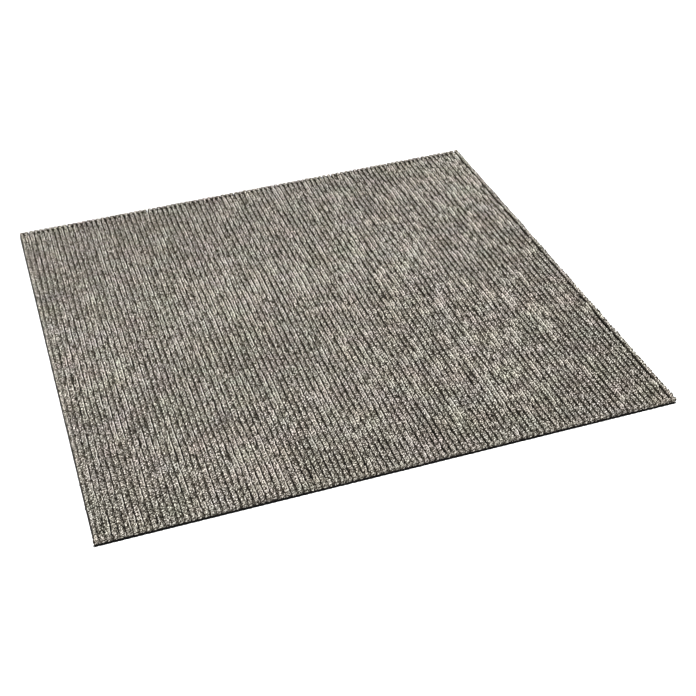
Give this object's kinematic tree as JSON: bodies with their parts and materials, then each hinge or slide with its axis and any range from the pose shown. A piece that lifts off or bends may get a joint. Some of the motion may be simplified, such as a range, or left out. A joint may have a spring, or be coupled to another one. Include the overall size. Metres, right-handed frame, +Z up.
{
  "type": "carpet tile",
  "caption": "Square carpet tile with a ribbed loop pile in straight rows on a thin, flat, dark flexible backing.",
  "frame": {"origin": "middle of the tile on its underside, the level that it lies on", "axes": "+Z up, out of the pile; +Y along the rows of pile, away from the viewer of the picture; +X across the rows, to the viewer's right"},
  "size_m": [0.5, 0.5, 0.0065],
  "materials": {
    "backing": "matt black flexible backing, cut edge slightly rough",
    "loop_pile": "matt taupe and cream melange yarn, looped, high and low"
  },
  "bodies": {
    "root": {"backing": "backing", "loop_pile": "loop_pile"}
  },
  "joints": []
}
